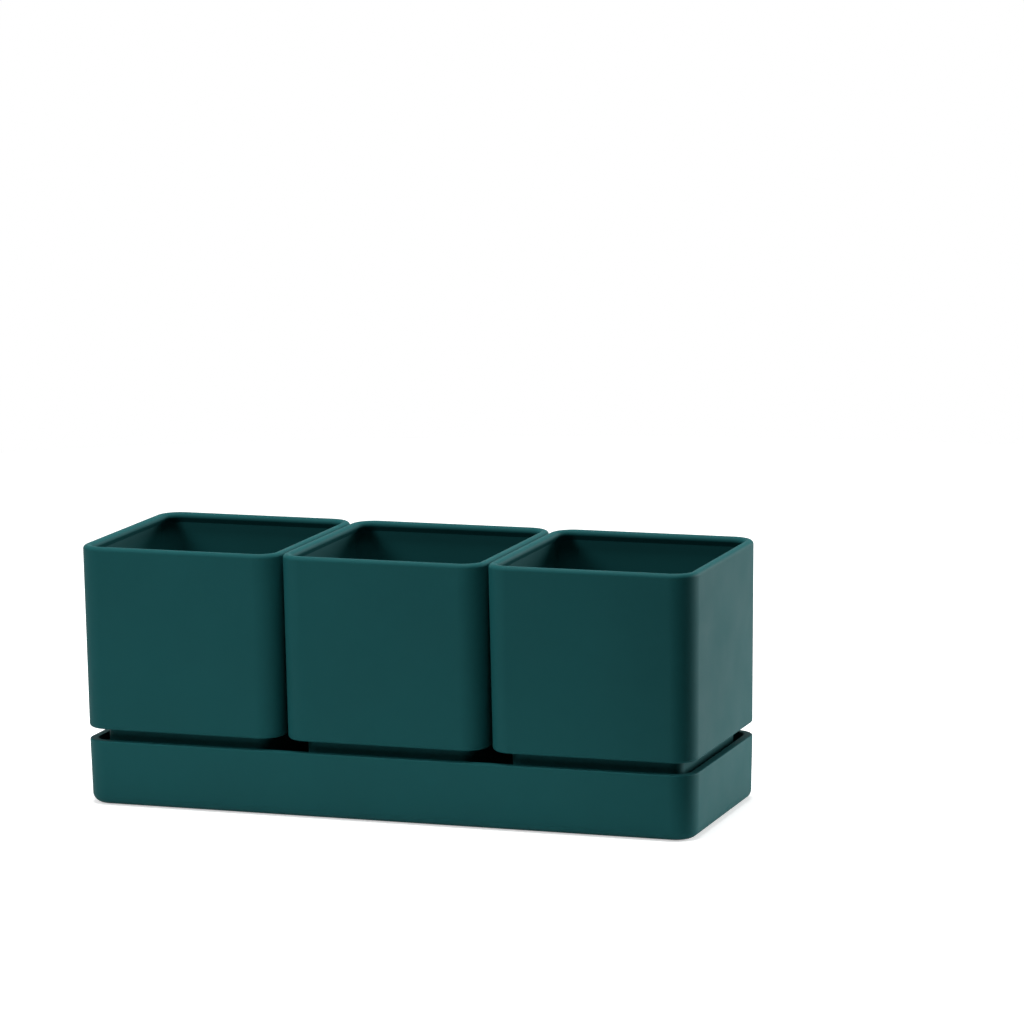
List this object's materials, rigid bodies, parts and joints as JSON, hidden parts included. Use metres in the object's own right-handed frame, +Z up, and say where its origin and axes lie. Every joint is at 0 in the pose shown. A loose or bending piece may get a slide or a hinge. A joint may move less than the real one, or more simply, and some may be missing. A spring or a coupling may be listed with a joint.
{
  "type": "indoor herb planter",
  "caption": "Row of square tapered pots with thick rolled rims, lifting out of one shared rectangular water tray; each pot has a recessed plinth with drain holes.",
  "frame": {"origin": "centre of the tray's base, on the surface the planter stands on", "axes": "+X along the row of pots to the right, +Y from the front to the back, +Z up"},
  "size_m": [0.3916, 0.14, 0.16],
  "materials": {
    "pot_plastic": "fine satin moulded polypropylene, dark teal",
    "tray_plastic": "fine satin moulded polypropylene, dark teal"
  },
  "bodies": {
    "tray": {"tray": "tray_plastic"},
    "pot_left": {"pot_left": "pot_plastic"},
    "pot_middle": {"pot_middle": "pot_plastic"},
    "pot_right": {"pot_right": "pot_plastic"}
  },
  "joints": [
    {"name": "pot_left_lift", "type": "slide", "parent": "tray", "child": "pot_left", "axis": [0, 0, 1], "range_m": [0, 0.06]},
    {"name": "pot_middle_lift", "type": "slide", "parent": "tray", "child": "pot_middle", "axis": [0, 0, 1], "range_m": [0, 0.06]},
    {"name": "pot_right_lift", "type": "slide", "parent": "tray", "child": "pot_right", "axis": [0, 0, 1], "range_m": [0, 0.06]}
  ]
}
